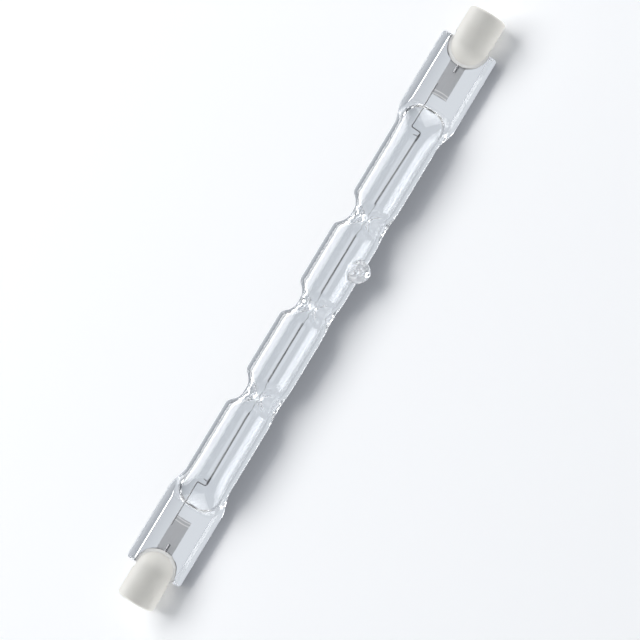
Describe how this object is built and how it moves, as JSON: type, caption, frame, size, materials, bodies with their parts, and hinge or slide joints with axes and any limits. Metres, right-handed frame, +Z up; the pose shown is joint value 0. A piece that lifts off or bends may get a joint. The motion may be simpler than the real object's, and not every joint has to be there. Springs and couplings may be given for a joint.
{
  "type": "linear halogen bulb",
  "caption": "Double-ended linear halogen bulb: crimped clear quartz tube with a coiled filament, pressed flat seals with foils and slotted ceramic end caps with recessed contacts.",
  "frame": {"origin": "light centre: on the bulb's axis, midway between the two contacts", "axes": "+X along the bulb, +Z up as it lies at rest, rolled 39.7 degrees about +X from level seal flats, on the tube and the -Y ribs of the seals, the exhaust tip level towards -Y"},
  "size_m": [0.1176, 0.0119, 0.0086],
  "materials": {
    "quartz": "clear, polished",
    "tungsten": "dark grey tungsten",
    "molybdenum_wire": "drawn grey wire",
    "molybdenum_foil": "rolled grey foil",
    "ceramic": "cream white, satin glaze",
    "contact_metal": "nickel plated",
    "cement": "matt, fine grained"
  },
  "bodies": {
    "root": {"quartz_envelope": "quartz", "filament": "tungsten", "inner_lead_left": "molybdenum_wire", "inner_lead_right": "molybdenum_wire", "foil_left": "molybdenum_foil", "foil_right": "molybdenum_foil", "outer_lead_left": "molybdenum_wire", "outer_lead_right": "molybdenum_wire", "ceramic_cap_left": "ceramic", "ceramic_cap_right": "ceramic", "contact_left": "contact_metal", "contact_right": "contact_metal", "cement_left": "cement", "cement_right": "cement"}
  },
  "joints": []
}
